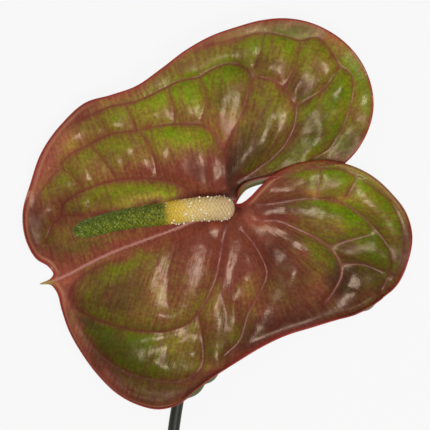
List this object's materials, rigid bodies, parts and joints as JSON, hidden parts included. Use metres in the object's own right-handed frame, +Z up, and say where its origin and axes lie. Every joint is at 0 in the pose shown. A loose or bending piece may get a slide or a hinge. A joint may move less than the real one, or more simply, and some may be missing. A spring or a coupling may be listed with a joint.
{
  "type": "cut anthurium flower",
  "caption": "Cut anthurium lying face up: heart-shaped blistered green and red-brown spathe, a beaded spadix rising from its notch, and a long bare stem.",
  "frame": {"origin": "bottom centre of the whole flower's bounding box, on the surface that it lies on", "axes": "+Z up from the surface, -Y down the stem to its cut end, +X to the right of the bloom seen from above with the stem towards the viewer"},
  "size_m": [0.1564, 0.4085, 0.0411],
  "materials": {
    "spathe": "waxy high gloss, olive green blisters between dark red-brown veins and rim",
    "spadix": "satin, fine florets, from cream at the base through yellow to green at the tip",
    "peduncle": "smooth satin, dark grey-green"
  },
  "bodies": {
    "root": {"spathe": "spathe", "spadix": "spadix", "peduncle": "peduncle"}
  },
  "joints": []
}
